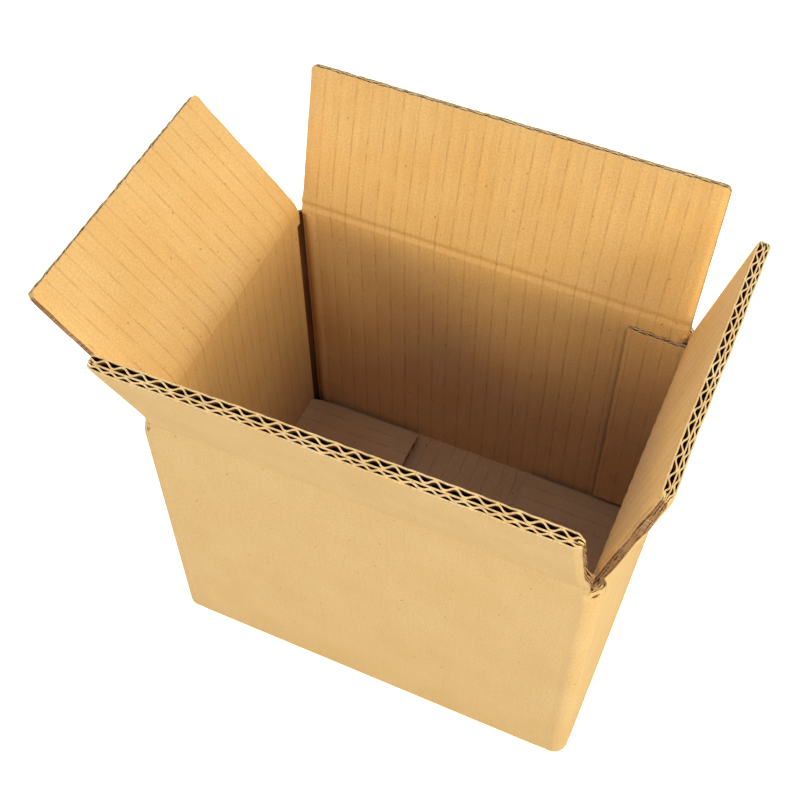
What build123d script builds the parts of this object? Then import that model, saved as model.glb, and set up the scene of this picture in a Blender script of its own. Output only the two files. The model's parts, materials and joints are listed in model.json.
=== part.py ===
"""Open shipping carton of double-wall corrugated board.

A regular slotted carton: one scored, slotted and folded sheet whose bottom flaps are shut and
taped, and whose four top flaps stand open. The walls, the glued joint and the shut bottom are one
solid, each top flap is a solid of its own that turns about its score line, and the tape is the
last piece. X runs along the length, Y from the front wall to the back wall, Z up. The origin is the
centre of the base, on the surface that the carton stands on. Millimetres and degrees.
"""
import os
from math import asin, atan, cos, floor, radians, sin, tan

from build123d import *

# Carton, measured over the outside of the board
box_length = 210.0
box_width = 150.0
box_height = 169.0  # with the top flaps shut

# Board: liner, C flute, liner, B flute, liner, counted from the inside of the carton
liner = 0.40
c_flute_height = 3.05
b_flute_height = 2.15
c_flute_pitch = 7.8
b_flute_pitch = 6.4
medium = 0.34  # thickness of the fluted paper
crest_share = 0.16  # part of a pitch over which a flute lies flat on its liner

# Top flaps
side_flap_seam = 3.6  # gap between the front and back flaps when both are shut
end_flap_length = 73.0  # left and right flaps, from the score line to the free edge
slot_play = 1.1  # from a flap's side edge to the inside of the wall beside it, when shut
fold_play = 0.3  # gap between boards that move past each other
crushed_root = 8.0  # from the score line to where the flutes open again
side_flap_lean = {"front": 21.0, "back": 16.0}  # outward from upright, as the carton stands
end_flap_lean = {"left": 41.0, "right": 13.0}
widest_lean = 120.0  # how far out of upright a flap can fold

# Shut bottom
bottom_end_flap_length = 68.5  # from the middle of an end wall to the free edge
bottom_slot_play = 2.8  # from a bottom flap's side edge to the wall beside it
bottom_fold_radius = 4.5  # outside of the folds round the base

# Upright folds
corner_fold_inside = 1.2
wall_slot_depth = 6.7  # how far the corner slots reach below the score of the front and back flaps

# Joint between the back wall and the right wall: a crushed tab glued inside the back wall
tab_width = 28.0
tab_thickness = 3.0
tab_head = 13.0  # from the top end of the tab to the score of the back flap

# Gummed paper tape over the bottom seam
tape_width = 60.0
tape_thickness = 0.15

board = 3 * liner + c_flute_height + b_flute_height
base = tape_thickness
side_score = box_height - board / 2
end_score = side_score - board - fold_play
slot_floor = side_score - wall_slot_depth
side_flap_length = (box_width - board - side_flap_seam) / 2
slot_setback = board + slot_play
bottom_setback = board + bottom_slot_play
side_flap_width = box_length - 2 * slot_setback
end_flap_width = box_width - 2 * slot_setback

# Which way each wall faces: its turn about Z from the back wall, and its distance from the middle
facing = {"back": 0.0, "left": 90.0, "front": 180.0, "right": 270.0}
side_axis_offset = (box_width - board) / 2
end_axis_offset = (box_length - board) / 2


def half_flute(height, pitch):
    """One air cell of a flute, standing on its liner: wide at the liner, narrow at the crest."""
    crest = crest_share * pitch
    slope = atan((height - medium) / (pitch / 2 - crest))
    foot = pitch / 2 - crest / 2 + medium / 2 / tan(slope) - medium / 2 / sin(slope)
    top = foot - (height - medium) / tan(slope)
    return Polygon((-foot, 0), (foot, 0), (top, height - medium), (-top, height - medium), align=None)


def flute_row(width, height, pitch, floor_level):
    """Air cells of one fluted paper, from floor_level outward, as many as the width holds."""
    cell = half_flute(height, pitch)
    hanging_cell = mirror(cell, about=Plane.XZ)
    pitches = floor(width / pitch - 0.5)
    steps = 2 * pitches
    cells = []
    for step in range(steps):
        across = (step - (steps - 1) / 2) * pitch / 2
        if step % 2 == 0:
            cells.append(Pos(across, floor_level) * cell)
        else:
            cells.append(Pos(across, floor_level + height) * hanging_cell)
    return cells


def board_section(width, crush=1.0):
    """Cut end of the board. X is across the flutes, Y from the inside face to the outside face."""
    c_floor = liner - board / 2
    b_floor = c_floor + c_flute_height + liner
    cells = flute_row(width, c_flute_height, c_flute_pitch, c_floor)
    cells += flute_row(width, b_flute_height, b_flute_pitch, b_floor)
    section = Rectangle(width, board) - cells
    return scale(section, by=(1, crush, 1))


def top_flap(width, length):
    """A top flap standing upright on its score line, which is the X axis, with its outside at +Y."""
    fluted = Pos(0, 0, crushed_root) * extrude(board_section(width), length - crushed_root)
    root = Rectangle(board, crushed_root, align=(Align.CENTER, Align.MIN)) + Circle(board / 2)
    return fluted + extrude(Plane.YZ.offset(-width / 2) * root, width)


def standing(shape, side, offset, score, lean=0.0):
    """Turns a shape that stands on the X axis to face one side, at a score line's place."""
    turn = facing[side]
    outward = Vector(-sin(radians(turn)), cos(radians(turn)), 0) * offset
    return Pos(outward.X, outward.Y, score) * Rot(0, 0, turn) * Rot(-lean, 0, 0) * shape


def flap_room(width):
    """What a flap and its round root need clear of the wall, up to the widest lean."""
    reach = board / 2 + fold_play
    beyond = board
    lean = radians(widest_lean)
    ledge = -reach * tan(lean / 2 - radians(45))
    relief = -(reach - beyond * cos(lean)) / sin(lean)
    outline = Polygon((-beyond, -reach), (ledge, -reach), (beyond, relief), (beyond, board),
                      (-beyond, board), align=None)
    length = width + 2 * fold_play
    return extrude(Plane.YZ.offset(-length / 2) * outline, length)


def walls():
    """The four walls as a tube of board, rounded at its upright folds and round the base."""
    outside = RectangleRounded(box_length, box_width, board + corner_fold_inside)
    inside = RectangleRounded(box_length - 2 * board, box_width - 2 * board, corner_fold_inside)
    height = side_score - board / 2 - fold_play - base
    block = Pos(0, 0, base) * extrude(outside, height)
    block = fillet(block.edges().group_by(Axis.Z)[0], bottom_fold_radius)
    tube = block - Pos(0, 0, base) * extrude(inside, height)
    slots = Box(box_length, box_width, box_height, align=(Align.CENTER, Align.CENTER, Align.MIN))
    slots -= Box(side_flap_width, 2 * box_width, 3 * box_height)
    slots -= Box(2 * box_length, end_flap_width, 3 * box_height)
    tube -= Pos(0, 0, slot_floor) * slots
    for side in ("front", "back"):
        tube -= standing(flap_room(side_flap_width), side, side_axis_offset, side_score)
    for side in ("left", "right"):
        tube -= standing(flap_room(end_flap_width), side, end_axis_offset, end_score)
    return tube


def bottom_side_flap(side):
    """A front or back bottom flap, shut flat under the end flaps. It stops short of the seam."""
    width = box_length - 2 * bottom_setback
    length = side_flap_length
    flap = Box(width, length, board, align=(Align.CENTER, Align.MAX, Align.MIN))
    return standing(flap, side, side_axis_offset, base)


def bottom_end_flap(side):
    """A left or right bottom flap, shut flat on the side flaps, with its flutes open at the edge."""
    width = box_width - 2 * bottom_setback
    rooted = crushed_root + board / 2
    root = Box(width, rooted, board, align=(Align.CENTER, Align.MAX, Align.CENTER))
    section = Plane.XZ.offset(rooted) * mirror(board_section(width), about=Plane.XZ)
    flap = root + extrude(section, bottom_end_flap_length - rooted)
    return standing(flap, side, end_axis_offset, base + 1.5 * board)


def glue_tab():
    """The crushed tab that continues the right wall and is glued inside the back wall."""
    foot = base + 2 * board + bottom_slot_play / 2
    section = board_section(tab_width, crush=tab_thickness / board)
    tab = extrude(section, side_score - tab_head - foot)
    across = box_length / 2 - board - tab_width / 2
    return Pos(across, box_width / 2 - board - tab_thickness / 2, foot) * tab


def carton_body():
    body = walls() + glue_tab()
    for side in ("front", "back"):
        body += bottom_side_flap(side)
    for side in ("left", "right"):
        body += bottom_end_flap(side)
    return body


def seam_tape():
    """The strip of paper tape under the seam, cut off where the end walls' folds turn upward."""
    length = box_length - 2 * bottom_fold_radius
    return Box(length, tape_width, tape_thickness, align=(Align.CENTER, Align.CENTER, Align.MIN))


def model():
    """Every piece of the carton, by name."""
    pieces = {"box_body": carton_body(), "bottom_tape": seam_tape()}
    side_flap = top_flap(side_flap_width, side_flap_length)
    end_flap = top_flap(end_flap_width, end_flap_length)
    for side, lean in side_flap_lean.items():
        pieces[side + "_flap"] = standing(side_flap, side, side_axis_offset, side_score, lean)
    for side, lean in end_flap_lean.items():
        pieces[side + "_flap"] = standing(end_flap, side, end_axis_offset, end_score, lean)
    return pieces


os.makedirs("parts", exist_ok=True)
for name, piece in model().items():
    export_step(piece, f"parts/{name}.step")
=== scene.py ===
"""Looks of an open shipping carton of double-wall corrugated board.

The carton is one sheet of brown kraft board: the walls and the shut bottom stay on the carton, and
each top flap is a board of its own that bends at its score line. A board is modelled as it is made:
an inside liner, a C flute, a middle liner, a B flute and an outside liner. These papers are laid
flat and then folded into place. On the flat board s runs along the fold, u across it, and t through
the board, from its inside to its outside. Metres.
"""
import json
from math import atan2, cos, exp, pi, radians, sin
from typing import NamedTuple

import bmesh
import bpy
from mathutils import Matrix, Vector, noise


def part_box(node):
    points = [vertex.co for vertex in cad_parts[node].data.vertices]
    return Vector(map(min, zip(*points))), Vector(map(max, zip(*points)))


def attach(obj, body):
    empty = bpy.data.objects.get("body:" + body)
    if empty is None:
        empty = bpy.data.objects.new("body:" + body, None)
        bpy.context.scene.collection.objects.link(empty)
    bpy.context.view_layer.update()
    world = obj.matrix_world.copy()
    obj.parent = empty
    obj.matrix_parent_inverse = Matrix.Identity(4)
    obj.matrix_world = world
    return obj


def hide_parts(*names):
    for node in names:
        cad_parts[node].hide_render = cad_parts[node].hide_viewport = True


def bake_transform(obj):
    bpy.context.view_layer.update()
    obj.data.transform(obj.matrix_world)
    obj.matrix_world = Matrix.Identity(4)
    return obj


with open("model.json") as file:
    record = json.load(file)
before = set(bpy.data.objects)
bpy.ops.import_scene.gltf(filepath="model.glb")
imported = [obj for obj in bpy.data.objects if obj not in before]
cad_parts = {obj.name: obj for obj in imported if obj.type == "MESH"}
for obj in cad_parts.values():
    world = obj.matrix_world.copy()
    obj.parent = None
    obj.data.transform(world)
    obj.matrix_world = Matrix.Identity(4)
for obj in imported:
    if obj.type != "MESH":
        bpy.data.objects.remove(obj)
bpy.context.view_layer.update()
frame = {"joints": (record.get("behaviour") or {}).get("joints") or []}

MM = 0.001

# Sizes of the board. A cut frays its papers, so they are drawn thicker than the real 0.4 mm
LINER = 0.70 * MM
MEDIUM = 0.85 * MM  # a fluted paper
C_FLUTE = 2.60 * MM  # height of the coarse row, on the inside
B_FLUTE = 1.70 * MM  # height of the fine row, on the outside
C_PITCH = 7.8 * MM
B_PITCH = 6.4 * MM

# Sizes that the frame gives
body_low, body_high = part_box("box_body")
hinges = {joint["child"]: joint for joint in frame["joints"]}
HALF_LENGTH = body_high.x
HALF_WIDTH = body_high.y
BASE = body_low.z  # underside of the board, which lies on its tape
BOARD = 2 * (HALF_LENGTH - hinges["right_flap"]["pos_m"][0])
SIDE_SCORE = hinges["front_flap"]["pos_m"][2]
END_SCORE = hinges["left_flap"]["pos_m"][2]
SLOT_SETBACK = HALF_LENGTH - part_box("front_flap")[1].x

# Slots and folds
SLOT_DEPTH = 6.7 * MM  # of a corner slot, below the score of the front and back flaps
SLOT_FLOOR = SIDE_SCORE - SLOT_DEPTH
BEND = 6.5 * MM  # from the score line to where the board is straight again
CORNER_INSIDE = 0.9 * MM  # inside radius of the upright folds
BASE_FOLD = 2.6 * MM  # outside radius of the folds round the base

# Sides, in the order in which s runs round the walls: anticlockwise, seen from above
UP = Vector((0, 0, 1))
SIDES = ("front", "right", "back", "left")
OUTWARD = {"front": Vector((0, -1, 0)), "right": Vector((1, 0, 0)),
           "back": Vector((0, 1, 0)), "left": Vector((-1, 0, 0))}
ALONG = {side: UP.cross(OUTWARD[side]) for side in SIDES}
# Half the length of each wall, how far its outside is from the carton's middle, and its score line
HALF_WALL = {"front": HALF_LENGTH, "right": HALF_WIDTH, "back": HALF_LENGTH, "left": HALF_WIDTH}
WALL_REACH = {"front": HALF_WIDTH, "right": HALF_LENGTH, "back": HALF_WIDTH, "left": HALF_LENGTH}
SCORE = {"front": SIDE_SCORE, "right": END_SCORE, "back": SIDE_SCORE, "left": END_SCORE}


# Materials

# Sizes of what shows in the paper. Real fibres are too fine for a render, so the grain is coarser
CLOUD = 32 * MM
STREAK = 1.5 * MM
GRAIN = 0.9 * MM
SPECK = 3 * MM
GLUE_DASH = 2.6 * MM
GRAIN_RELIEF = 0.025 * MM


def linear(hex_colour):
    """Linear colour of an sRGB hex value."""
    channels = [int(hex_colour[i:i + 2], 16) / 255 for i in (1, 3, 5)]
    return [c / 12.92 if c <= 0.04045 else ((c + 0.055) / 1.055) ** 2.4 for c in channels] + [1.0]


def add(material, kind, settings=None, **links):
    """Adds a node. Settings are its properties, and links set or join its inputs.

    An input is named with its own name, or with i and its number.
    """
    tree = material.node_tree
    made = tree.nodes.new(kind)
    for key, value in (settings or {}).items():
        setattr(made, key, value)
    for key, value in links.items():
        numbered = key[0] == "i" and key[1:].isdigit()
        socket = made.inputs[int(key[1:]) if numbered else key.replace("_", " ")]
        if isinstance(value, bpy.types.NodeSocket):
            tree.links.new(value, socket)
        else:
            socket.default_value = value
    return made


def blend_colour(material, factor, first, second):
    """The first colour where factor is 0, and the second where it is 1."""
    return add(material, "ShaderNodeMix", {"data_type": "RGBA"}, i0=factor, i6=first, i7=second).outputs[2]


def kraft_paper(name, pulp, grain, streaks, flute_lines=None, roughness=0.9, specular=0.2):
    """Kraft paper, which is unbleached wood pulp: matt, warm, and mottled at three sizes.

    pulp is its dark, middle and pale colour. grain and streaks say how far its fibres and streaks
    go to the dark one. flute_lines is the pitch, the depth and the darkness of the lines over the
    crests of its flutes, where the paper is glued; the darkness is painted shade of the washboard.
    """
    material = bpy.data.materials.new(name)
    material.use_nodes = True
    material.node_tree.nodes.clear()
    dark, middle, pale = [linear(colour) for colour in pulp]
    board = add(material, "ShaderNodeUVMap", {"uv_map": "board"}).outputs["UV"]

    def mottle(size, stretch, low, high, floor_share, top_share, detail=3.0):
        """Patches of a size, longer along the flutes where stretch is above 1.

        The noise from low to high becomes a share from floor_share to top_share.
        """
        placed = add(material, "ShaderNodeMapping", Vector=board, Scale=(1.0, 1 / stretch, 1.0))
        patches = add(material, "ShaderNodeTexNoise", {"noise_dimensions": "2D"},
                      Vector=placed.outputs[0], Scale=1 / size, Detail=detail, Roughness=0.6)
        return add(material, "ShaderNodeMapRange", i0=patches.outputs["Fac"], i1=low, i2=high,
                   i3=floor_share, i4=top_share).outputs[0]

    # Clouds of pulp some centimetres across, streaks along the machine direction, and fibres
    tone = blend_colour(material, mottle(CLOUD, 1.0, 0.3, 0.7, 0.0, 1.0), middle, pale)
    tone = blend_colour(material, mottle(STREAK, 16.0, 0.40, 0.72, 0.0, streaks), tone, dark)
    tone = blend_colour(material, mottle(GRAIN, 1.2, 0.34, 0.66, grain, 0.0), tone, dark)
    # Specks of bark and recycled fibre, about a millimetre across and a few centimetres apart
    specks = mottle(SPECK, 1.0, 0.80, 0.83, 0.0, 0.4, detail=1.0)
    tone = blend_colour(material, specks, tone, linear("#6B4426"))
    relief = add(material, "ShaderNodeMath", {"operation": "MULTIPLY"},
                 i0=mottle(GRAIN, 1.2, 0.34, 0.66, 0.0, 1.0), i1=GRAIN_RELIEF).outputs[0]
    if flute_lines:
        pitch, depth, painted_line_shade = flute_lines
        # Lines over the flute crests: pressed in by the bump, and darkened as painted shade of the
        # washboard relief
        split = add(material, "ShaderNodeSeparateXYZ", Vector=board)
        waves = add(material, "ShaderNodeMath", {"operation": "MULTIPLY_ADD"}, i0=split.outputs[0],
                    i1=1 / pitch, i2=0.5)
        from_crest = add(material, "ShaderNodeMath", {"operation": "PINGPONG"}, i0=waves.outputs[0],
                         i1=0.5)
        line = add(material, "ShaderNodeMapRange", {"interpolation_type": "SMOOTHSTEP"},
                   i0=from_crest.outputs[0], i1=0.0, i2=0.10, i3=1.0, i4=0.0)
        broken = add(material, "ShaderNodeMath", {"operation": "MULTIPLY"}, i0=line.outputs[0],
                     i1=mottle(GLUE_DASH, 3.0, 0.36, 0.62, 0.20, 1.0))
        shade = add(material, "ShaderNodeMath", {"operation": "MULTIPLY"}, i0=broken.outputs[0],
                    i1=painted_line_shade)
        tone = blend_colour(material, shade.outputs[0], tone, dark)
        relief = add(material, "ShaderNodeMath", {"operation": "MULTIPLY_ADD"}, i0=broken.outputs[0],
                     i1=-depth, i2=relief).outputs[0]
    bump = add(material, "ShaderNodeBump", Height=relief, Distance=1.0, Strength=0.7)
    surface = add(material, "ShaderNodeBsdfPrincipled", Base_Color=tone, Roughness=roughness, IOR=1.45,
                  Specular_IOR_Level=specular, Normal=bump.outputs[0])
    add(material, "ShaderNodeOutputMaterial", Surface=surface.outputs[0])
    return material


# Kraft liner, machine made, uncoated. The inside shows lines over the crests of the C flute, darkened as
# painted shade of the washboard
inside_liner = kraft_paper("inside_kraft_liner", ("#A47445", "#DFB37B", "#E2BA86"), grain=0.24,
                           streaks=0.10, flute_lines=(C_PITCH, 0.08 * MM, 0.40))
# The same liner outside, greyer, with only a trace of closer lines of painted shade
outside_liner = kraft_paper("outside_kraft_liner", ("#A27E59", "#CBA97F", "#CFAF87"), grain=0.24,
                            streaks=0.05, flute_lines=(C_PITCH / 2, 0.01 * MM, 0.05))
# Fluting medium, semi-chemical or recycled pulp: darker and duller than the liners, and drawn darker still
# as painted shade for the cells between the flutes
fluting_and_cell_shade_paper = kraft_paper("fluting_paper", ("#452A1C", "#724B32", "#81583A"), grain=0.2, streaks=0.0)
# Sides of the board where the knife crushed the layers: dark, rough fibres
cut_board = kraft_paper("crushed_cut_side", ("#573727", "#A47855", "#C29875"), grain=0.7, streaks=0.0)
# Ends of the papers at a free edge: freshly cut fibres, as pale as the faces or paler
paper_ends = kraft_paper("cut_paper_ends", ("#AD8452", "#E1BA88", "#E6C69E"), grain=0.4, streaks=0.0)
# Gummed tape: smooth machine-glazed kraft, a little redder and glossier than the board
gummed_tape = kraft_paper("gummed_paper_tape", ("#916744", "#BB8E64", "#C2986F"), grain=0.14,
                          streaks=0.12, roughness=0.45, specular=0.4)
BOARD_MATERIALS = [inside_liner, outside_liner, fluting_and_cell_shade_paper, cut_board, paper_ends]
INSIDE, OUTSIDE, FLUTING_AND_SHADE, CUT, ENDS = range(5)
SHARP_ANGLE = radians(40)  # above it an edge of a paper stays crisp


# Flat boards

# Columns in one pitch of the flutes
LINER_DETAIL = 8
FLUTE_DETAIL = 12
MIDDLE_DETAIL = 2

CREST_SINK = 0.15 * MEDIUM  # how far crests are pressed into their liners
LINER_SINK = 0.16 * MM  # how far the inside liner has sunk between the crests
SEEN_DEPTH = 16 * MM  # how far behind a cut end the flutes are modelled in walls and bottom flaps


def wobble(s, u, scale, seed):
    """Smooth chance variation between about -1 and 1, the same in every run."""
    return noise.noise(Vector((s / scale, u / scale, seed)))


def ramp(x, low, high):
    """0 up to low, 1 from high on, and an S-shaped rise between them."""
    share = min(1.0, max(0.0, (x - low) / (high - low)))
    return share * share * (3 - 2 * share)


def bump_at(x, middle, reach):
    """1 at the middle, falling to nearly nothing at twice the reach."""
    return exp(-((x - middle) / reach) ** 2)


def spread(low, high, count):
    """Places from low to high, with count equal steps between them."""
    return [low + (high - low) * i / count for i in range(count + 1)]


def paper(board, s_values, shares, reach, thickness, level, material):
    """Adds one sheet of paper to a board.

    reach(s) gives the sheet's lowest and highest u, shares are the rows between them from 0 to 1,
    and level(s, u) is the sheet's middle through the board.
    """
    sheet = bmesh.new()
    columns = len(s_values) - 1
    rows = len(shares) - 1
    bmesh.ops.create_grid(sheet, x_segments=columns, y_segments=rows, size=0.5)
    board_map = sheet.loops.layers.uv.new("board")
    for vert in sheet.verts:
        s = s_values[round((vert.co.x + 0.5) * columns)]
        low, high = reach(s)
        vert.co = (s, low + (high - low) * shares[round((vert.co.y + 0.5) * rows)], 0)
    bmesh.ops.solidify(sheet, geom=sheet.faces[:], thickness=thickness)
    bmesh.ops.recalc_face_normals(sheet, faces=sheet.faces[:])
    for face in sheet.faces:
        normal = face.normal
        if abs(normal.z) > 0.5:
            # The liners' hidden faces, toward the flutes, get the dark fluting paper as painted shade in
            # the cells
            hidden = (material == INSIDE and normal.z > 0) or (material == OUTSIDE and normal.z < 0)
            face.material_index = FLUTING_AND_SHADE if hidden else material
        else:
            # An end across the flutes is cut clean, and a side along them is crushed
            face.material_index = ENDS if abs(normal.y) > abs(normal.x) else CUT
        face.smooth = True
        for loop in face.loops:
            loop[board_map].uv = loop.vert.co.xy
    middle = sum(vert.co.z for vert in sheet.verts) / len(sheet.verts)
    for vert in sheet.verts:
        vert.co.z += level(vert.co.x, vert.co.y) - middle
    mesh = bpy.data.meshes.new("sheet")
    sheet.to_mesh(mesh)
    sheet.free()
    board.from_mesh(mesh)
    bpy.data.meshes.remove(mesh)


def panel_columns(half_width):
    """A flat panel's places along the board, as a function of how many there are in a metre."""
    return lambda per_metre: spread(-half_width, half_width, round(2 * half_width * per_metre))


def fluting(height, middle, pitch, seed):
    """Level of a fluted paper, whose waves wander a little and are here and there lower."""
    full_swing = height / 2 - MEDIUM / 2 + CREST_SINK

    def level(s, u):
        drift = 1.4 * wobble(s, 0, 13 * MM, seed + pitch / MM)
        swing = full_swing * (1 - 0.20 * abs(wobble(s, 0, 9 * MM, seed)))
        return middle + swing * cos(2 * pi * s / pitch + drift)
    return level


def corrugated(columns, liner_shares, flute_shares, reach, flute_reach, seed,
               outside_detail=LINER_DETAIL):
    """The five papers of a double-wall board, laid flat.

    columns(per_metre) gives the places along the board. The two faces have rows at liner_shares of
    reach, and the papers between them at flute_shares of flute_reach. outside_detail is the number
    of the outside liner's columns in a pitch.
    """
    board = bmesh.new()
    middle_level = -BOARD / 2 + 1.5 * LINER + C_FLUTE
    c_level = fluting(C_FLUTE, -BOARD / 2 + LINER + C_FLUTE / 2, C_PITCH, seed)
    b_level = fluting(B_FLUTE, BOARD / 2 - LINER - B_FLUTE / 2, B_PITCH, seed)

    def inside_level(s, u):
        # The liner has sunk a little between the crests that it is glued to
        between = (1 + cos(2 * pi * s / C_PITCH)) / 2
        return LINER / 2 - BOARD / 2 + LINER_SINK * between ** 2

    def flat(level):
        return lambda s, u: level

    liner_columns = columns(LINER_DETAIL / C_PITCH)
    c_columns = columns(FLUTE_DETAIL / C_PITCH)
    middle_columns = columns(MIDDLE_DETAIL / C_PITCH)
    b_columns = columns(FLUTE_DETAIL / B_PITCH)
    outside_columns = columns(outside_detail / C_PITCH)
    paper(board, liner_columns, liner_shares, reach, LINER, inside_level, INSIDE)
    paper(board, c_columns, flute_shares, flute_reach, MEDIUM, c_level, FLUTING_AND_SHADE)
    # The middle liner is drawn in the dark fluting paper too, as painted shade between the flutes
    paper(board, middle_columns, flute_shares, flute_reach, LINER, flat(middle_level), FLUTING_AND_SHADE)
    paper(board, b_columns, flute_shares, flute_reach, MEDIUM, b_level, FLUTING_AND_SHADE)
    paper(board, outside_columns, liner_shares, reach, LINER, flat(BOARD / 2 - LINER / 2), OUTSIDE)
    return board


def make_piece(shape, name, materials):
    """Makes an object of a finished shape."""
    mesh = bpy.data.meshes.new(name)
    shape.to_mesh(mesh)
    shape.free()
    mesh.set_sharp_from_angle(angle=SHARP_ANGLE)
    for material in materials:
        mesh.materials.append(material)
    piece = bpy.data.objects.new(name, mesh)
    bpy.context.collection.objects.link(piece)
    return piece


def finish_board(board, name, fold):
    """Folds a flat board into place and makes it an object."""
    for vert in board.verts:
        vert.co = fold(*vert.co)
    piece = make_piece(board, name, BOARD_MATERIALS)
    return piece


# Top flaps

class FlapCut(NamedTuple):
    """How one top flap was scored and cut. Left and right are as seen from outside the carton."""
    crease: float  # height of the press knife's line over the line that the flap turns about
    rough: float  # how ragged its cut sides are
    squash: float  # share of the board's thickness that its free edge has lost
    askew: float = 0.0  # how much more is trimmed off its free edge at the left than at the right
    wider: float = 0.0  # how much wider it is at the left of its free edge
    torn: float = 0.0  # how far a strip stands out at its right, where the slot was torn, not cut


FLAP_CUTS = {"front": FlapCut(crease=-1.3 * MM, rough=0.7, squash=0.02, wider=1.3 * MM, torn=2.6 * MM),
             "right": FlapCut(crease=4.6 * MM, rough=1.0, squash=0.16),
             "back": FlapCut(crease=-1.3 * MM, rough=0.15, squash=0.36, askew=1.2 * MM),
             "left": FlapCut(crease=4.6 * MM, rough=0.4, squash=0.12, askew=-0.8 * MM, wider=0.8 * MM)}
HALF_FOLD = 1.8 * MM  # on both sides of a crease, where the board curves
SCORE_REACH = 1.5 * MM  # on both sides of a crease, where the knife has pressed the faces in
# How far it has pressed each face in, as a share of the way to the middle of the board
INSIDE_PRESS = 0.30
OUTSIDE_PRESS = 0.14
ROUND_TIP = 2.2 * MM  # radius of a flap's corners
SQUASHED_TIP = 7 * MM  # length of the squashed free edge
CRUSHED_SIDE = 3 * MM  # width of the strip that the knife crushed at a cut side
RAGGED_SIDE = 2 * MM  # width of the strip where the papers end unevenly
TORN_WIDTH = 6 * MM
TORN_LENGTH = 17 * MM
# Middle and sway of the torn flutes that lie between the liners at a cut side
TORN_FLUTES = ((-1.2 * MM, 2.0 * MM), (-0.1 * MM, 1.0 * MM), (1.9 * MM, 1.2 * MM))
TORN_FLUTE_WIDTH = 1.8 * MM


def torn_flutes(board, half_width, reach, seed):
    """Torn flutes, crumpled into the gaps between the liners at both cut sides of a flap."""
    farthest = BOARD / 2 - 1.1 * MM  # from the middle of the board, so that they stay inside it
    for layer, (middle, sway) in enumerate(TORN_FLUTES):
        for end in (-1, 1):
            def crumple(s, u, middle=middle, sway=sway, salt=seed + 3 * layer + end):
                crumpled = middle + sway * wobble(u, s, 4 * MM, salt)
                return min(farthest, max(-farthest, crumpled))

            middle_s = end * (half_width - 1.0 * MM)
            columns = spread(middle_s - TORN_FLUTE_WIDTH / 2, middle_s + TORN_FLUTE_WIDTH / 2, 3)
            paper(board, columns, spread(0, 1, 60), reach, MEDIUM, crumple, CUT)


def top_flap(side, seed):
    """A top flap with its score line and the top of its wall, bending between carton and flap."""
    body = side + "_flap"
    cut = FLAP_CUTS[side]
    outward = OUTWARD[side]
    along = ALONG[side]
    hinge = Vector(hinges[body]["pos_m"])
    lean = radians(-hinges[body]["range_deg"][0] - 90)
    low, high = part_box(body)
    half_width = max(abs(low.dot(along)), abs(high.dot(along)))
    length = (high.z - hinge.z - BOARD / 2 * sin(lean)) / cos(lean)
    bend_share = 2 * BEND / (length + BEND)
    # The board bends at its crease, and its free edge is where the lean about the hinge puts it
    beyond = Vector((length * sin(lean), length * cos(lean) - cut.crease))
    bend_angle = atan2(beyond.x, beyond.y)
    length = cut.crease + beyond.length

    def shares(rows_in_bend, rows_beyond):
        return spread(0, bend_share, rows_in_bend) + spread(bend_share, 1, rows_beyond)[1:]

    def reach(s):
        return -BEND, length - cut.askew * (1 - s / half_width) / 2

    board = corrugated(panel_columns(half_width), shares(22, 12), shares(12, 5), reach, reach, seed)
    torn_flutes(board, half_width, reach, seed)

    def fold(s, u, t):
        from_side = half_width - abs(s)
        free = ramp(u, 0, BEND)
        # The score presses both faces in, the inside face more
        t *= 1 - bump_at(u, cut.crease, SCORE_REACH) * (INSIDE_PRESS if t < 0 else OUTSIDE_PRESS)
        # The knife crushes the cut sides, and handling squashes the free edge
        crushed = 0.42 + 0.24 * cut.rough * wobble(u, s, 9 * MM, seed)
        t *= 1 - crushed * free * (1 - ramp(from_side, 0, CRUSHED_SIDE))
        squashed = cut.squash + 0.06 * wobble(s, 0, 14 * MM, seed + 5)
        t -= (t + BOARD / 2) * squashed * ramp(u, length - SQUASHED_TIP, length)
        # Each paper ends a little longer or shorter than the next
        longer = 0.35 * MM * wobble(s, t, 2.2 * MM, seed + 7) * ramp(u, length - 1.5 * MM, length)
        wider = (0.05 + 0.8 * cut.rough * wobble(u, t, 4 * MM, seed + 3)) * MM
        wider *= free * (1 - ramp(from_side, 0, RAGGED_SIDE))
        wider += cut.wider * ramp(-s, 0, half_width) * u / length
        in_torn_strip = ramp(s, half_width - TORN_WIDTH, half_width) * (1 - ramp(u, 1 * MM, TORN_LENGTH))
        wider += cut.torn * in_torn_strip
        # Corners that have been handled are a little round
        into_corner = min(ROUND_TIP, max(0.0, ROUND_TIP - from_side))
        rounded = ROUND_TIP - (ROUND_TIP ** 2 - into_corner ** 2) ** 0.5
        u -= rounded * ramp(u, length - 3 * ROUND_TIP, length)
        # No panel is quite flat
        t += 0.7 * MM * wobble(s, u, 70 * MM, seed + 11) * ramp(u, BEND, length)
        turn = bend_angle * ramp(u, cut.crease - HALF_FOLD, cut.crease + HALF_FOLD)
        u += longer
        s += wider * (1 if s > 0 else -1)
        out = t * cos(turn) + (u - cut.crease) * sin(turn)
        rise = cut.crease + (u - cut.crease) * cos(turn) - t * sin(turn)
        return hinge + along * s + outward * out + UP * rise

    piece = finish_board(board, side + "_flap_board", fold)
    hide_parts(body)
    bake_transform(piece)


# Walls. On their board u is the height above what the carton stands on

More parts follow.
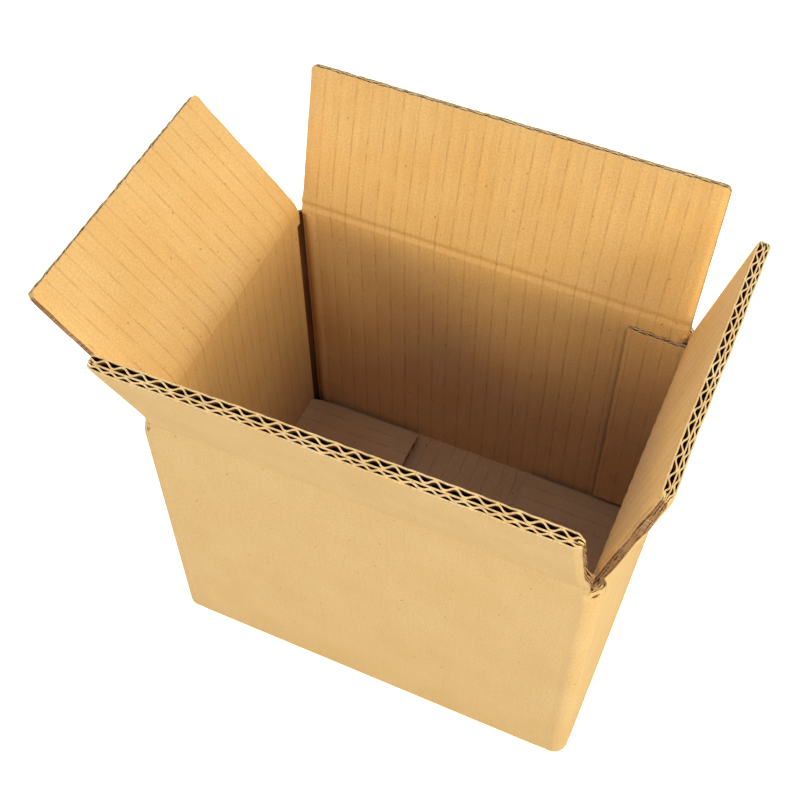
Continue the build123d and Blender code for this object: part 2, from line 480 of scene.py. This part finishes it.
MIDDLE_RADIUS = CORNER_INSIDE + BOARD / 2
CORNER_TURN = MIDDLE_RADIUS * pi / 2
SLOT_STEP = 0.02 * MM  # along the board, between the floor of a slot and the top of a wall
PANEL_BOW = 0.5 * MM  # at the middle of a wall
ROUNDING = 1e-9  # by which a place may fall short of the start of its panel
PANEL = {side: 2 * (HALF_WALL[side] - BOARD - CORNER_INSIDE) for side in SIDES}
PANEL_START = {}
ROUND = 0.0  # length of the board all round the carton
for side in SIDES:
    PANEL_START[side] = ROUND
    ROUND += PANEL[side] + CORNER_TURN

# Form of an upright fold, with distances from its middle
GROOVE_DEPTH = 3.2 * MM
GROOVE_REACH = 4.6 * MM
PAINTED_CREASE_SHADE_REACH = 1.9 * MM  # in the bottom of the groove, where the inside liner is drawn in the dark fluting paper as painted shade
PLEAT = 8.0 * MM  # where the board stands up beside the groove
OUTSIDE_DIP = 5.5 * MM  # where it dips on the outside

# Tab of the right wall, glued inside the back wall
TAB_WIDTH = 28 * MM
TAB_THICKNESS = 3.0 * MM
TAB_EDGE = HALF_LENGTH - BOARD - TAB_WIDTH
TAB_FOOT = BASE + 2.3 * BOARD
TAB_TOP = SIDE_SCORE - 12 * MM


def round_columns(per_metre):
    """Places round the carton, counted from the left end of the front wall, anticlockwise."""
    places = []
    for side in SIDES:
        start, panel = PANEL_START[side], PANEL[side]
        slot = panel / 2 - (HALF_WALL[side] - SLOT_SETBACK)
        inner = spread(slot, panel - slot, round((panel - 2 * slot) * per_metre))
        places += [start + p for p in [0.0, slot - SLOT_STEP] + inner + [panel - slot + SLOT_STEP]]
        places += [start + panel + p for p in spread(0, CORNER_TURN, 10)[:-1]]
    return places + [ROUND]


def wall_place(s):
    """Side, distance along it from the middle of its panel, and share of the corner after it."""
    s = min(max(s, 0.0), ROUND)
    side = [name for name in SIDES if PANEL_START[name] <= s + ROUNDING][-1]
    from_start = s - PANEL_START[side]
    beyond = max(0.0, from_start - PANEL[side]) / CORNER_TURN
    return side, min(from_start, PANEL[side]) - PANEL[side] / 2, beyond


def wall_point(s, t):
    """Point on plan for a place round the carton and a depth through its board."""
    side, from_middle, beyond = wall_place(s)
    outward = OUTWARD[side]
    along = ALONG[side]
    if not beyond:
        return along * from_middle + outward * (WALL_REACH[side] - BOARD / 2 + t)
    centre = along * from_middle + outward * (WALL_REACH[side] - BOARD - CORNER_INSIDE)
    angle = beyond * pi / 2
    return centre + (outward * cos(angle) + along * sin(angle)) * (MIDDLE_RADIUS + t)


def wall_top(s):
    """Height at which the walls' board ends: in a slot, or where a top flap's board takes over."""
    side, from_middle, beyond = wall_place(s)
    in_slot = beyond or abs(from_middle) > HALF_WALL[side] - SLOT_SETBACK + SLOT_STEP / 2
    return SLOT_FLOOR if in_slot else SCORE[side] - BEND


def corner_distance(s):
    """Distance along the board to the middle of the nearest upright fold."""
    middles = [PANEL_START[side] + PANEL[side] + CORNER_TURN / 2 for side in SIDES]
    middles.append(middles[-1] - ROUND)
    return min(abs(s - middle) for middle in middles)


def walls():
    """The four walls as one board round the carton, with its upright folds and its slots."""
    foot = BASE + BASE_FOLD
    base_turn = BASE_FOLD * pi / 2
    low = foot - base_turn - (BOARD - BASE_FOLD)

    def reach(s):
        return low, wall_top(s)

    def flute_reach(s):
        return wall_top(s) - SEEN_DEPTH, wall_top(s)

    # Close rows in the base fold, wide ones up the wall, and close ones again where the slots end
    fold_share = (base_turn + BOARD - BASE_FOLD) / (SIDE_SCORE - BEND - low)
    slot_share = 0.93
    liner_shares = [0.0] + spread(0.3 * fold_share, fold_share, 7)
    liner_shares += spread(fold_share, slot_share, 8)[1:] + spread(slot_share, 1, 5)[1:]
    board = corrugated(round_columns, liner_shares, spread(0, 1, 3), reach, flute_reach, seed=0.4,
                       outside_detail=4)

    def fold(s, u, t):
        side, from_middle, beyond = wall_place(s)
        near = corner_distance(s)
        # The upright score leaves a groove inside, with the board pleated on both sides of it
        groove = GROOVE_DEPTH * exp(-(near / GROOVE_REACH) ** 4)
        groove -= 0.4 * MM * bump_at(near, PLEAT, 1.6 * MM)
        if side == "back" and not beyond and u > TAB_FOOT:
            # The inside liner is pressed in along the free edge of the glued tab
            pressed = 0.8 * MM * bump_at(from_middle, 0.5 * MM - TAB_EDGE, 0.7 * MM)
            groove += pressed * (1 - ramp(u, TAB_TOP - 5 * MM, TAB_TOP - 2 * MM))
        inward_share = 0.5 - t / BOARD
        dip = 0.25 * MM * bump_at(near, OUTSIDE_DIP, 2.0 * MM)
        t += groove * inward_share - dip * (1 - inward_share)
        # The panels bow slightly outward, but the front one inward
        bow = 0.0 if beyond else 1 - (2 * from_middle / PANEL[side]) ** 2
        bow *= PANEL_BOW * sin(pi * min(1, max(0, u / SLOT_FLOOR)))
        t += -bow if side == "front" else bow
        # The slot knife pinches the board where it stops at the upright folds
        pinch = ramp(u, SLOT_FLOOR - 7 * MM, SLOT_FLOOR) * (1 - ramp(near, 1 * MM, 3.4 * MM))
        height = u - 0.35 * (t + BOARD / 2) * pinch
        t -= (t + BOARD / 2) * 0.30 * pinch
        # At the foot the outside turns in under the carton, and the inside is pressed short
        past = foot - u
        if past > 0 and t > 0:
            angle = min(past / BASE_FOLD, pi / 2)
            centre = BOARD / 2 - BASE_FOLD
            radius = t - centre
            t = centre + radius * cos(angle) - max(0.0, past - base_turn)
            height = foot - radius * sin(angle)
        elif past > 0:
            height = foot - past / (foot - low) * (BASE_FOLD - LINER)
        return wall_point(s, t) + UP * height

    board_map = board.loops.layers.uv["board"]
    for face in board.faces:
        face_s = face.calc_center_median().x
        # In the bottom of the groove the inside liner gets the darker fluting paper: painted shade in the
        # crease
        if face.material_index == INSIDE and corner_distance(face_s) < PAINTED_CREASE_SHADE_REACH:
            face.material_index = FLUTING_AND_SHADE
        # Each panel's pattern is centred on it, so that it goes on in its flap
        side, _, _ = wall_place(face_s)
        middle = PANEL_START[side] + PANEL[side] / 2
        for loop in face.loops:
            loop[board_map].uv = (loop.vert.co.x - middle, loop.vert.co.y - SIDE_SCORE)
    piece = finish_board(board, "carton_walls", fold)
    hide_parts("box_body")
    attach(piece, "carton")


def glue_tab():
    """The crushed tab of the right wall, glued inside the back wall, with its flutes open on top."""
    half_width = TAB_WIDTH / 2
    pressed_in = 0.3 * MM  # how far the glued tab is pressed into the wall's face

    def reach(s):
        return TAB_FOOT, TAB_TOP + 1.6 * MM * s / TAB_WIDTH

    board = corrugated(panel_columns(half_width), spread(0, 1, 16), spread(0, 1, 16), reach, reach,
                       seed=5.0)

    def fold(s, u, t):
        from_side = half_width - abs(s)
        t *= TAB_THICKNESS / BOARD * (1 - 0.25 * (1 - ramp(from_side, 0, 4 * MM)))
        u += 0.5 * MM * wobble(s, t, 4 * MM, 2.0) * ramp(u, TAB_TOP - 3 * MM, TAB_TOP)
        s += 0.4 * MM * wobble(u, t, 6 * MM, 3.0) * (1 - ramp(from_side, 0, 3 * MM))
        return Vector((HALF_LENGTH - BOARD - half_width - s,
                       HALF_WIDTH - BOARD - TAB_THICKNESS / 2 + pressed_in + t, u))

    piece = finish_board(board, "glue_tab", fold)
    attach(piece, "carton")


# Bottom flaps and tape. On a bottom flap u runs from the inside of its wall to its free edge

BOTTOM_SETBACK = BOARD + 2.8 * MM  # from the outside of a wall to the cut side of a bottom flap
BOTTOM_SEAM = 3.6 * MM  # between the front and back bottom flaps
BOTTOM_END_LENGTH = 65.3 * MM  # of the left and right bottom flaps
BOTTOM_END_WARP = 0.8 * MM  # how far their free edges stand up
BOTTOM_CURVE = 8 * MM  # from a wall to where its bottom flap lies flat
BOTTOM_CURVE_RISE = 3.2 * MM
TAPE_TOOTH = 2.4 * MM  # depth of the saw-tooth ends of the tape


def bottom_flap(side, seed, level, half_width, length, warp):
    """A shut bottom flap, whose underside is at level. warp is how far its free edge stands up."""
    outward = OUTWARD[side]
    along = ALONG[side]

    def reach(s):
        return 0.0, length

    def flute_reach(s):
        return length - SEEN_DEPTH, length

    board = corrugated(panel_columns(half_width), spread(0, 1, 12), spread(0, 1, 2), reach,
                       flute_reach, seed)

    def fold(s, u, t):
        # The cut side and the free edge are a little crushed and ragged
        t *= 1 - 0.18 * (1 - ramp(half_width - abs(s), 0, 5 * MM))
        t *= 1 - 0.10 * ramp(u, length - 5 * MM, length)
        u += 0.3 * MM * wobble(s, t, 2.5 * MM, seed) * ramp(u, length - 2 * MM, length)
        rise = warp * ramp(u, 0, length) * (0.6 + 0.4 * wobble(s, u, 60 * MM, seed))
        # The board curves up into its wall, but the carton's underside stays flat
        rising_share = 0.5 - t / BOARD if level == BASE else 1
        rise += BOTTOM_CURVE_RISE * max(0.0, 1 - u / BOTTOM_CURVE) ** 2 * rising_share
        # The slots between bottom flaps are wider at the walls
        s *= 1 - 0.05 * (1 - ramp(u, 0, 7 * MM)) ** 2
        plan = outward * (WALL_REACH[side] - BOARD - u) - along * s
        return plan + UP * (level + BOARD / 2 - t + rise)

    piece = finish_board(board, side + "_bottom_flap", fold)
    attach(piece, "carton")


def seam_tape():
    """Gummed paper tape over the seam under the carton, with ends torn on a saw-tooth blade."""
    low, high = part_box("bottom_tape")
    steps_in_tooth = 4
    teeth = 12
    tape = bmesh.new()
    bmesh.ops.create_grid(tape, x_segments=90, y_segments=teeth * steps_in_tooth, size=0.5)
    board_map = tape.loops.layers.uv.new("board")
    for vert in tape.verts:
        across = vert.co.y + 0.5
        tooth = abs(across * teeth % 1 - 0.5) * 2
        length = high.x - low.x - TAPE_TOOTH * (1 - tooth)
        vert.co = (vert.co.x * length, low.y + across * (high.y - low.y), high.z)
    for face in tape.faces:
        face.smooth = True
        for loop in face.loops:
            loop[board_map].uv = loop.vert.co.xy
    bmesh.ops.solidify(tape, geom=tape.faces[:], thickness=high.z - low.z)
    lowest = min(vert.co.z for vert in tape.verts)
    for vert in tape.verts:
        vert.co.z += low.z - lowest
    bmesh.ops.recalc_face_normals(tape, faces=tape.faces[:])
    piece = make_piece(tape, "seam_tape_strip", [gummed_tape])
    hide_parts("bottom_tape")
    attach(piece, "carton")


# Shreds

def curled_shred(name, foot, facing, width, radius, turns, height):
    """A shred of torn liner that stands up from a slot and curls over, tighter toward its tip."""
    stem = 0.35  # share of its length that stands up
    taper = 0.45  # share of its width, and of its curl's radius, that it loses on the way to its tip
    curl = bmesh.new()
    bmesh.ops.create_grid(curl, x_segments=26, y_segments=3, size=0.5)
    board_map = curl.loops.layers.uv.new("board")
    for face in curl.faces:
        face.material_index = CUT
        face.smooth = True
        for loop in face.loops:
            loop[board_map].uv = loop.vert.co.xy * width
    sideways = UP.cross(facing)
    for vert in curl.verts:
        share = vert.co.x + 0.5
        across = vert.co.y * width * (1 - taper * share)
        if share < stem:
            rise = height * share / stem
            out = 0.0
        else:
            curled = (share - stem) / (1 - stem)
            angle = curled * turns * 2 * pi
            tight = radius * (1 - taper * curled)
            rise = height + tight * sin(angle)
            out = radius - tight * cos(angle)
        slant = 0.35 * across * sin(7 * share)  # twists it a little
        vert.co = foot + facing * out + sideways * across + UP * (rise + slant)
    bmesh.ops.solidify(curl, geom=curl.faces[:], thickness=0.3 * MM)
    bmesh.ops.recalc_face_normals(curl, faces=curl.faces[:])
    piece = make_piece(curl, name, BOARD_MATERIALS)
    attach(piece, "carton")


def carton():
    """All the pieces. A board's seed decides how its papers wander."""
    walls()
    for number, side in enumerate(("front", "back")):
        bottom_flap(side, 8.0 + number, BASE, HALF_LENGTH - BOTTOM_SETBACK,
                    HALF_WIDTH - BOARD - BOTTOM_SEAM / 2, 0.0)
    for number, side in enumerate(("left", "right")):
        bottom_flap(side, 9.5 + number, BASE + BOARD, HALF_WIDTH - BOTTOM_SETBACK,
                    BOTTOM_END_LENGTH, BOTTOM_END_WARP)
    glue_tab()
    seam_tape()
    # In the slot between the front and the right wall
    corner_slot = Vector((HALF_LENGTH - 5.2 * MM, -HALF_WIDTH + 4.6 * MM, SLOT_FLOOR - 1.5 * MM))
    curled_shred("curled_shred_a", corner_slot, facing=Vector((0.8, -0.6, 0)), width=4.2 * MM,
                 radius=1.5 * MM, turns=0.9, height=4.0 * MM)
    curled_shred("curled_shred_b", corner_slot + Vector((-2.0 * MM, 0.6 * MM, 0)),
                 facing=Vector((0.1, -1, 0)), width=2.6 * MM, radius=1.1 * MM, turns=0.7, height=2.2 * MM)
    for number, side in enumerate(SIDES):
        top_flap(side, 1.7 * number + 0.4)


# Floor, light and camera

WARM = (1.0, 0.86, 0.36)
COOL = (0.30, 0.46, 0.74, 1.0)
# Light that only the camera sees on the floor, so that it is as white as the page behind it
FLOOR_LIFT = 0.85
FLOOR_LIFT_COLOUR = (1.0, 0.87, 0.72, 1.0)
LAMP_DISTANCE = 1.6
LAMP_AIM = Vector((0, 0.03, 0.15))
# Direction to each lamp, its width, and how bright it makes a white card that faces it
LAMPS = {"front_lamp": ((-0.02, -0.897, 0.442), 0.12, 0.15),
         "high_front_lamp": ((-0.18, -0.80, 0.54), 0.6, 0.22),
         "front_left_lamp": ((-0.60, -0.66, 0.34), 0.45, 0.20),
         "front_right_lamp": ((0.45, -0.80, 0.36), 0.45, 0.13),
         "right_lamp": ((0.94, -0.08, 0.34), 0.5, 0.52),
         "high_right_lamp": ((0.80, -0.22, 0.60), 0.5, 0.33),
         "left_lamp": ((-0.94, 0.10, 0.34), 0.6, 0.16),
         "back_lamp": ((-0.10, 0.95, 0.30), 0.6, 0.60)}


def white_floor():
    """A floor that takes the carton's shadow and is as white as the page for the camera."""
    # Matt white paint, with a lift that only the camera sees
    paint = bpy.data.materials.new("white_floor_paint")
    paint.use_nodes = True
    paint.node_tree.nodes.clear()
    matt = add(paint, "ShaderNodeBsdfDiffuse", Color=linear("#F2F2F2"))
    seen = add(paint, "ShaderNodeLightPath").outputs["Is Camera Ray"]
    lift = add(paint, "ShaderNodeMath", {"operation": "MULTIPLY"}, i0=seen, i1=FLOOR_LIFT)
    glow = add(paint, "ShaderNodeEmission", Color=FLOOR_LIFT_COLOUR, Strength=lift.outputs[0])
    surface = add(paint, "ShaderNodeAddShader", i0=matt.outputs[0], i1=glow.outputs[0])
    add(paint, "ShaderNodeOutputMaterial", Surface=surface.outputs[0])
    sheet = bmesh.new()
    bmesh.ops.create_grid(sheet, x_segments=1, y_segments=1, size=6)
    floor = make_piece(sheet, "floor", [paint])


def sky():
    """Cool light from all round, and a white page that only the camera sees."""
    world = bpy.data.worlds.new("studio")
    bpy.context.scene.world = world
    world.use_nodes = True
    world.node_tree.nodes.clear()
    cool = add(world, "ShaderNodeBackground", Color=COOL, Strength=1.0)
    page = add(world, "ShaderNodeBackground", Color=(1, 1, 1, 1), Strength=1.0)
    seen = add(world, "ShaderNodeLightPath").outputs["Is Camera Ray"]
    background = add(world, "ShaderNodeMixShader", i0=seen, i1=cool.outputs[0], i2=page.outputs[0])
    add(world, "ShaderNodeOutputWorld", Surface=background.outputs[0])


def lamps():
    """Warm round lamps, brightest on the right and behind."""
    for name, (direction, width, brightness) in LAMPS.items():
        light = bpy.data.lights.new(name, "AREA")
        light.shape = "DISK"
        light.size = width
        light.energy = brightness * pi ** 2 * LAMP_DISTANCE ** 2
        light.color = WARM
        holder = bpy.data.objects.new(name, light)
        holder.location = LAMP_AIM + Vector(direction).normalized() * LAMP_DISTANCE
        holder.rotation_euler = (-Vector(direction)).to_track_quat("-Z", "Y").to_euler()
        bpy.context.collection.objects.link(holder)


def camera():
    """The photograph's view: place in the carton's frame, direction of look, and focal length."""
    image_width = 800  # pixels
    focal_length = 1282.0  # pixels
    place = Vector((134.24, -323.45, 603.69)) * MM
    azimuth = radians(24.66)
    elevation = radians(52.81)
    roll = radians(-0.57)
    back = Vector((sin(azimuth) * cos(elevation), -cos(azimuth) * cos(elevation), sin(elevation)))
    right = (-back).cross(UP).normalized()
    up = right.cross(-back)
    rolled_right = right * cos(roll) + up * sin(roll)
    rolled_up = up * cos(roll) - right * sin(roll)
    lens = bpy.data.cameras.new("camera")
    lens.sensor_width = 36
    lens.lens = focal_length / image_width * lens.sensor_width
    holder = bpy.data.objects.new("camera", lens)
    turn = Matrix((rolled_right, rolled_up, back)).transposed()
    holder.matrix_world = Matrix.Translation(place) @ turn.to_4x4()
    bpy.context.collection.objects.link(holder)
    bpy.context.scene.camera = holder


carton()
white_floor()
sky()
lamps()
camera()
bpy.context.scene.view_settings.view_transform = "Standard"
